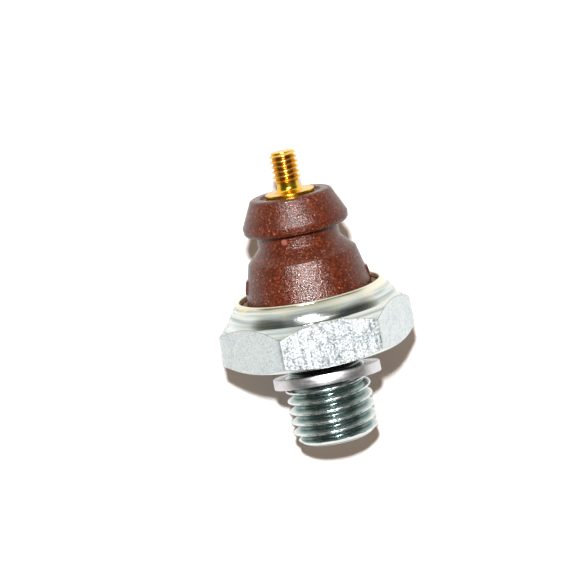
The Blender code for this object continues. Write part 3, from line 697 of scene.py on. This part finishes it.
def ring_visual(name, mat, r_in, r_out, z_lo, z_hi, edge, n=256, wobble=0.0):
    s = Lathe(n)
    w = wobble * np.sin(s.ang * 2 + 0.6)
    e = edge
    pts = [(r_out - e, z_lo), (r_out - 0.3 * e, z_lo + 0.3 * e), (r_out, z_lo + e), (r_out, (z_lo + z_hi) / 2), (r_out, z_hi - e),
           (r_out - 0.3 * e, z_hi - 0.3 * e), (r_out - e, z_hi), ((r_in + r_out) / 2, z_hi), (r_in + e, z_hi),
           (r_in + 0.3 * e, z_hi - 0.3 * e), (r_in, z_hi - e), (r_in, z_lo + e), (r_in + 0.3 * e, z_lo + 0.3 * e),
           (r_in + e, z_lo), ((r_in + r_out) / 2, z_lo)]
    for r, z in pts:
        s.ring(r, z + w)
    return s.build(name, [mat], loop=True, sharp=34)


# ------------------------------------------------------------------ pieces
Z_FLATS, Z_TURNED, Z_LIP, Z_THREAD, Z_UNDERCUT_SHADE, Z_PAINTED_EDGE_SHADE = zinc_flats(), zinc_turned(), zinc_lip(), zinc_thread(), zinc_undercut_shade(), zinc_painted_edge_shade()

body = housing_visual([Z_FLATS, Z_TURNED, Z_LIP, Z_THREAD, Z_UNDERCUT_SHADE, Z_PAINTED_EDGE_SHADE])
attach(body, "switch_body"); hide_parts("hex_housing")

moulding = insulator_visual(phenolic_body())
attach(moulding, "switch_body"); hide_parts("insulator")

stud = stud_visual(brass())
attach(stud, "switch_body"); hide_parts("terminal_stud")

WASHER_T, WASHER_Z, WASHER_TILT, WASHER_OFFSET = 1.5, -3.4, 7.0, 0.20
washer = ring_visual("seal_washer_ring", washer_metal(), 6.4, 7.6, -WASHER_T / 2, WASHER_T / 2, 0.11, 300)
lean_line = Vector((math.cos(TURN), math.sin(TURN), 0))
washer.data.transform(
    Matrix.Translation(lean_line * WASHER_OFFSET * MM + Vector((0, 0, WASHER_Z * MM)))
    @ Matrix.Rotation(-math.radians(WASHER_TILT), 4, lean_line)
)
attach(washer, "washer"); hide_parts("sealing_washer")



def spring_visual(mat):
    """The set spring's coil, its end turns closer, inside the CAD spring's own envelope."""
    coil_r, wire_r, turns, low_z, high_z = 3.5, 0.33, 7, 6.75, 16.35
    close, per_turn, sides = 2 * wire_r + 0.12, 44, 14
    low_z, high_z = low_z + wire_r, high_z - wire_r
    pitch = (high_z - low_z - 2 * close) / (turns - 2)
    verts, faces = [], []
    count = turns * per_turn
    for k in range(count + 1):
        t = turns * k / count
        z = low_z + close * min(t, 1) + pitch * min(max(t - 1, 0), turns - 2) + close * max(t - turns + 1, 0)
        out = np.array([math.cos(TAU * t), math.sin(TAU * t), 0.0])
        for a in np.arange(sides) * TAU / sides:
            verts.append(out * (coil_r + wire_r * math.cos(a)) + np.array([0, 0, z + wire_r * math.sin(a)]))
    for k in range(count):
        for j in range(sides):
            i = (j + 1) % sides
            faces.append((k * sides + j, (k + 1) * sides + j, (k + 1) * sides + i, k * sides + i)[::-1])
    faces.append(tuple(range(sides)))
    faces.append(tuple(count * sides + j for j in range(sides))[::-1])
    mesh = bpy.data.meshes.new("set_spring_coil")
    mesh.from_pydata([tuple(float(c) * MM for c in v) for v in verts], [], faces)
    mesh.materials.append(mat)
    for f in mesh.polygons:
        f.use_smooth = len(f.vertices) == 4
    mesh.update()
    if sum(p.center.dot(p.normal) * p.area for p in mesh.polygons) < 0:
        mesh.flip_normals()
    obj = bpy.data.objects.new("set_spring_coil", mesh)
    bpy.context.scene.collection.objects.link(obj)
    return obj


coil = spring_visual(plain("spring_steel", (0.25, 0.25, 0.27), (0.52, 0.52, 0.55), 1.0, 0.20, 0.38))
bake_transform(coil)
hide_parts("set_spring")

lo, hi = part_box("crimp_gasket")
gasket = ring_visual("gasket_ring", fibre(), 8.92, 9.8, lo.z / MM, hi.z / MM, 0.06, 300)
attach(gasket, "switch_body"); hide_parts("crimp_gasket")

INNER = {
    "stud_clamp_washer": ("inner_steel", (0.38, 0.38, 0.39), (0.66, 0.66, 0.67), 1.0, 0.22, 0.42),
    "pressure_plate": ("plate_steel", (0.40, 0.40, 0.41), (0.68, 0.68, 0.69), 1.0, 0.22, 0.40),
    "stud_seal": ("nitrile_ring", (0.012, 0.012, 0.013), (0.035, 0.035, 0.037), 0.0, 0.45, 0.70),
    "diaphragm_seal": ("nitrile_sheet", (0.012, 0.012, 0.013), (0.035, 0.035, 0.037), 0.0, 0.50, 0.75),
    "diaphragm": ("film_amber", (0.50, 0.19, 0.03), (0.70, 0.33, 0.07), 0.0, 0.18, 0.34),
    "diaphragm_backing": ("film_amber_back", (0.50, 0.19, 0.03), (0.70, 0.33, 0.07), 0.0, 0.18, 0.34),
    "ground_contact_plate": ("brass_stamped", (0.62, 0.38, 0.11), (0.88, 0.66, 0.30), 1.0, 0.20, 0.40),
    "plunger": ("nylon_natural", (0.62, 0.58, 0.49), (0.80, 0.77, 0.69), 0.0, 0.38, 0.56),
    "contact_disc": ("bronze_sheet", (0.55, 0.30, 0.15), (0.82, 0.52, 0.32), 1.0, 0.20, 0.40),
    "contact_tip_1": ("silver_tip_1", (0.72, 0.72, 0.70), (0.92, 0.92, 0.90), 1.0, 0.16, 0.32),
    "contact_tip_2": ("silver_tip_2", (0.72, 0.72, 0.70), (0.92, 0.92, 0.90), 1.0, 0.16, 0.32),
    "contact_tip_3": ("silver_tip_3", (0.72, 0.72, 0.70), (0.92, 0.92, 0.90), 1.0, 0.16, 0.32),
}
for node, (name, low, high, metal, r0, r1) in INNER.items():
    made = plain(name, low, high, metal, r0, r1)
    obj = frame["nodes"][node] if isinstance(frame["nodes"], dict) else bpy.data.objects[node]
    if len(obj.material_slots) == 0:
        obj.data.materials.append(made)
    for sl in obj.material_slots:
        sl.material = made


# ------------------------------------------------------------------ stage
def stage_plane(name, corners, mat):
    mesh = bpy.data.meshes.new(name)
    mesh.from_pydata([tuple(c) for c in corners], [], [(0, 1, 2, 3)])
    mesh.materials.append(mat)
    obj = bpy.data.objects.new(name, mesh)
    bpy.context.scene.collection.objects.link(obj)
    return obj


floor_mat = bpy.data.materials.new("floor_pale")
floor_mat.use_nodes = True
fb = floor_mat.node_tree.nodes["Principled BSDF"]
fb.inputs["Base Color"].default_value = (0.90, 0.89, 0.88, 1)
fb.inputs["Roughness"].default_value = 0.9
fb.inputs["Specular IOR Level"].default_value = 0.1
# seen from behind, the sheet is clear, so that it never hides the switch
ft = floor_mat.node_tree
clear = ft.nodes.new("ShaderNodeBsdfTransparent")
facing = ft.nodes.new("ShaderNodeNewGeometry")
either = ft.nodes.new("ShaderNodeMixShader")
ft.links.new(facing.outputs["Backfacing"], either.inputs[0])
ft.links.new(fb.outputs[0], either.inputs[1])
ft.links.new(clear.outputs[0], either.inputs[2])
ft.links.new(either.outputs[0], ft.nodes["Material Output"].inputs["Surface"])
# The switch lies on its back on a pale sheet, touching it along the lower edge of the hex's rear flat.
TOUCH = (12.07, 0.15)            # y and z, in mm
SHEET_LEAN = 0.30
R = 0.085
up_y, up_z = SHEET_LEAN / math.hypot(1, SHEET_LEAN), 1 / math.hypot(1, SHEET_LEAN)
low = (TOUCH[0] * MM - R * up_y, TOUCH[1] * MM - R * up_z)
top = (TOUCH[0] * MM + R * up_y, TOUCH[1] * MM + R * up_z)
sheet = stage_plane("floor_sheet", [(-R, *low), (R, *low), (R, *top), (-R, *top)], floor_mat)
sheet.visible_glossy = False

# The room as the metal reflects it: a pale sweep behind and beside the object, a darker room in front.
# It is fixed in the world. The floor itself isn't seen in reflections, since the sweep stands for it.
world = bpy.data.worlds.new("studio")
bpy.context.scene.world = world
world.use_nodes = True
wt = world.node_tree
wt.nodes.clear()


def wnode(kind, **values):
    n = wt.nodes.new(kind)
    for k, v in values.items():
        setattr(n, k, v)
    return n


def wdot(axis):
    n = wnode("ShaderNodeVectorMath", operation="DOT_PRODUCT")
    wt.links.new(wcoord.outputs["Generated"], n.inputs[0])
    n.inputs[1].default_value = tuple(float(v) for v in axis)
    return n.outputs["Value"]


def wramp(value, stops):
    n = wnode("ShaderNodeValToRGB")
    wt.links.new(value, n.inputs["Fac"])
    e = n.color_ramp.elements
    e[0].position, e[0].color = stops[0][0], (*stops[0][1], 1)
    e[1].position, e[1].color = stops[-1][0], (*stops[-1][1], 1)
    for pos, col in stops[1:-1]:
        e.new(pos).color = (*col, 1)
    return n.outputs["Color"]


wcoord = wnode("ShaderNodeTexCoord")
behind = wnode("ShaderNodeMapRange")
wt.links.new(wdot(CAM_F), behind.inputs["Value"])
behind.inputs["From Min"].default_value = -1.0
behind.inputs["From Max"].default_value = 1.0
room = wramp(behind.outputs["Result"], [
    (0.0, (0.045, 0.052, 0.060)), (0.07, (0.040, 0.048, 0.055)), (0.13, (0.060, 0.068, 0.066)), (0.20, (0.25, 0.26, 0.235)),
    (0.28, (0.58, 0.59, 0.54)), (0.37, (0.80, 0.81, 0.77)), (0.50, (0.94, 0.95, 0.92)), (1.0, (1.04, 1.04, 1.02)),
])
darker = wramp(behind.outputs["Result"], [
    (0.0, (0.060, 0.068, 0.076)), (0.13, (0.060, 0.070, 0.073)), (0.26, (0.080, 0.088, 0.078)), (0.38, (0.11, 0.11, 0.085)),
    (0.46, (0.24, 0.23, 0.19)), (0.53, (0.60, 0.59, 0.54)), (0.59, (0.98, 0.98, 0.95)), (1.0, (1.06, 1.06, 1.04)),
])
path = wnode("ShaderNodeLightPath")


def wmix(fac, one, two):
    n = wnode("ShaderNodeMix", data_type="RGBA")
    wt.links.new(fac, n.inputs[0])
    for socket, v in ((n.inputs[6], one), (n.inputs[7], two)):
        if isinstance(v, bpy.types.NodeSocket):
            wt.links.new(v, socket)
        else:
            socket.default_value = (*v, 1)
    return n.outputs[2]


to_right = wnode("ShaderNodeMapRange", interpolation_type="SMOOTHSTEP")
wt.links.new(wdot(CAM_R), to_right.inputs["Value"])
to_right.inputs["From Min"].default_value = 0.10
to_right.inputs["From Max"].default_value = 0.50
to_right.inputs["To Max"].default_value = 0.26
height = wnode("ShaderNodeMath", operation="SUBTRACT")
wt.links.new(wdot(CAM_U), height.inputs[0])
wt.links.new(to_right.outputs["Result"], height.inputs[1])
not_up = wnode("ShaderNodeMapRange", interpolation_type="SMOOTHSTEP")
wt.links.new(height.outputs[0], not_up.inputs["Value"])
not_up.inputs["From Min"].default_value = 0.72
not_up.inputs["From Max"].default_value = 0.45
room = wmix(not_up.outputs["Result"], room, darker)
lit = wmix(path.outputs["Is Glossy Ray"], (0.27, 0.192, 0.142), room)
lit = wmix(path.outputs["Is Camera Ray"], lit, (1.0, 1.0, 1.0))
bg = wnode("ShaderNodeBackground")
wt.links.new(lit, bg.inputs["Color"])
wt.links.new(bg.outputs[0], wnode("ShaderNodeOutputWorld").inputs["Surface"])


def area(name, where_mm, at_mm, size_mm, watts, colour=(1, 1, 1), size_y=None, glossy=True):
    data = bpy.data.lights.new(name, "AREA")
    data.energy = watts
    data.color = colour
    data.shape = "RECTANGLE"
    data.size = size_mm * MM
    data.size_y = (size_y or size_mm) * MM
    obj = bpy.data.objects.new(name, data)
    bpy.context.scene.collection.objects.link(obj)
    where, at = Vector(where_mm) * MM, Vector(at_mm) * MM
    obj.matrix_world = Matrix.Translation(where) @ (at - where).to_track_quat("-Z", "Y").to_matrix().to_4x4()
    obj.visible_glossy = glossy
    return obj


def out_there(azimuth_left, elevation, distance):
    """A place, in mm, left of the camera's own direction by an angle and above the horizontal."""
    a = math.radians(-7.7 - azimuth_left)
    e = math.radians(elevation)
    return (math.sin(a) * math.cos(e) * distance, -math.cos(a) * math.cos(e) * distance, math.sin(e) * distance + 8)


def by_camera(up_deg, left_deg, distance):
    """A place, in mm, seen from the switch above and left of the camera."""
    d = -CAM_F + math.tan(math.radians(up_deg)) * CAM_U - math.tan(math.radians(left_deg)) * CAM_R
    return tuple(map(float, d / np.linalg.norm(d) * distance + np.array([0, 0, 6.0])))


area("flash", by_camera(11, 2, 560), (0, 0, 6), 28, 4.3, (1.0, 0.985, 0.97))
glint = area("glint", by_camera(11, 2, 560), (0, 0, 6), 28, 3.1, (1.0, 0.985, 0.97))
glint.visible_diffuse = False
key = area("key", out_there(11, 47, 520), (0, 0, 8), 85, 1.0)
key.visible_diffuse = False

# ------------------------------------------------------------------ camera
cam_data = bpy.data.cameras.new("camera")
cam_data.sensor_fit = "HORIZONTAL"
cam_data.sensor_width = 36.0
cam_data.lens = FOCAL_PX / 580 * 36.0
cam_data.clip_start = 0.01
cam_data.clip_end = 50
cam = bpy.data.objects.new("camera", cam_data)
bpy.context.scene.collection.objects.link(cam)
cam.matrix_world = Matrix((
    (CAM_R[0], CAM_U[0], -CAM_F[0], CAM_C[0] * MM),
    (CAM_R[1], CAM_U[1], -CAM_F[1], CAM_C[1] * MM),
    (CAM_R[2], CAM_U[2], -CAM_F[2], CAM_C[2] * MM),
    (0, 0, 0, 1),
))
bpy.context.scene.camera = cam
bpy.context.scene.view_settings.view_transform = "Standard"
bpy.context.scene.view_settings.look = "None"
